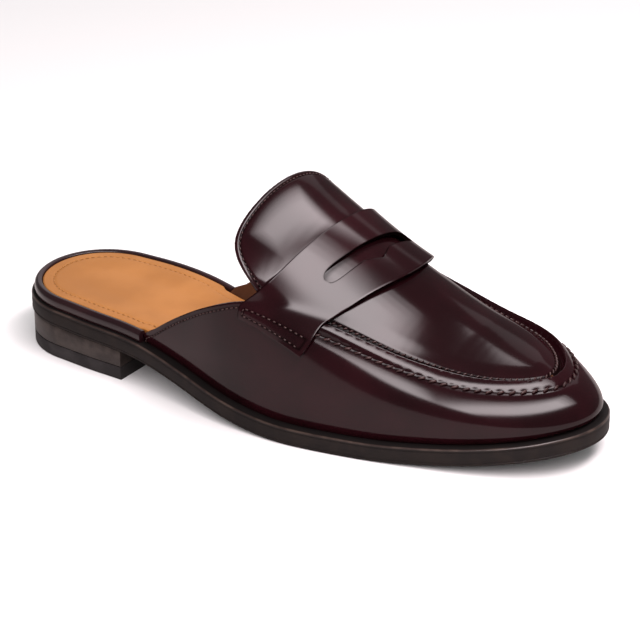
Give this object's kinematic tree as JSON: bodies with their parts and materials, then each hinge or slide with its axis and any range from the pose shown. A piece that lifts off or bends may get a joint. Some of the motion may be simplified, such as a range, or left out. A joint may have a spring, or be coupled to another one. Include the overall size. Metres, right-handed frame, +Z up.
{
  "type": "loafer mule",
  "caption": "Backless leather loafer mule with a raised apron seam, slotted saddle strap, standing tongue, bound footbed and low stacked heel.",
  "frame": {"origin": "on the ground plane, below the middle of the shoe's bounding box", "axes": "+X from heel to toe, +Y to the inner side of this right shoe, +Z up"},
  "size_m": [0.295, 0.1066, 0.102],
  "materials": {
    "upper_leather": "polished, high gloss",
    "sole_edge": "dressed edge, satin",
    "heel_rubber": "matt",
    "sock": "smooth, semi matt"
  },
  "bodies": {
    "root": {"outsole": "sole_edge", "heel_lift": "sole_edge", "top_piece": "heel_rubber", "insole": "sock", "footbed_binding": "upper_leather", "upper": "upper_leather", "tongue": "upper_leather", "saddle_strap": "upper_leather"}
  },
  "joints": []
}
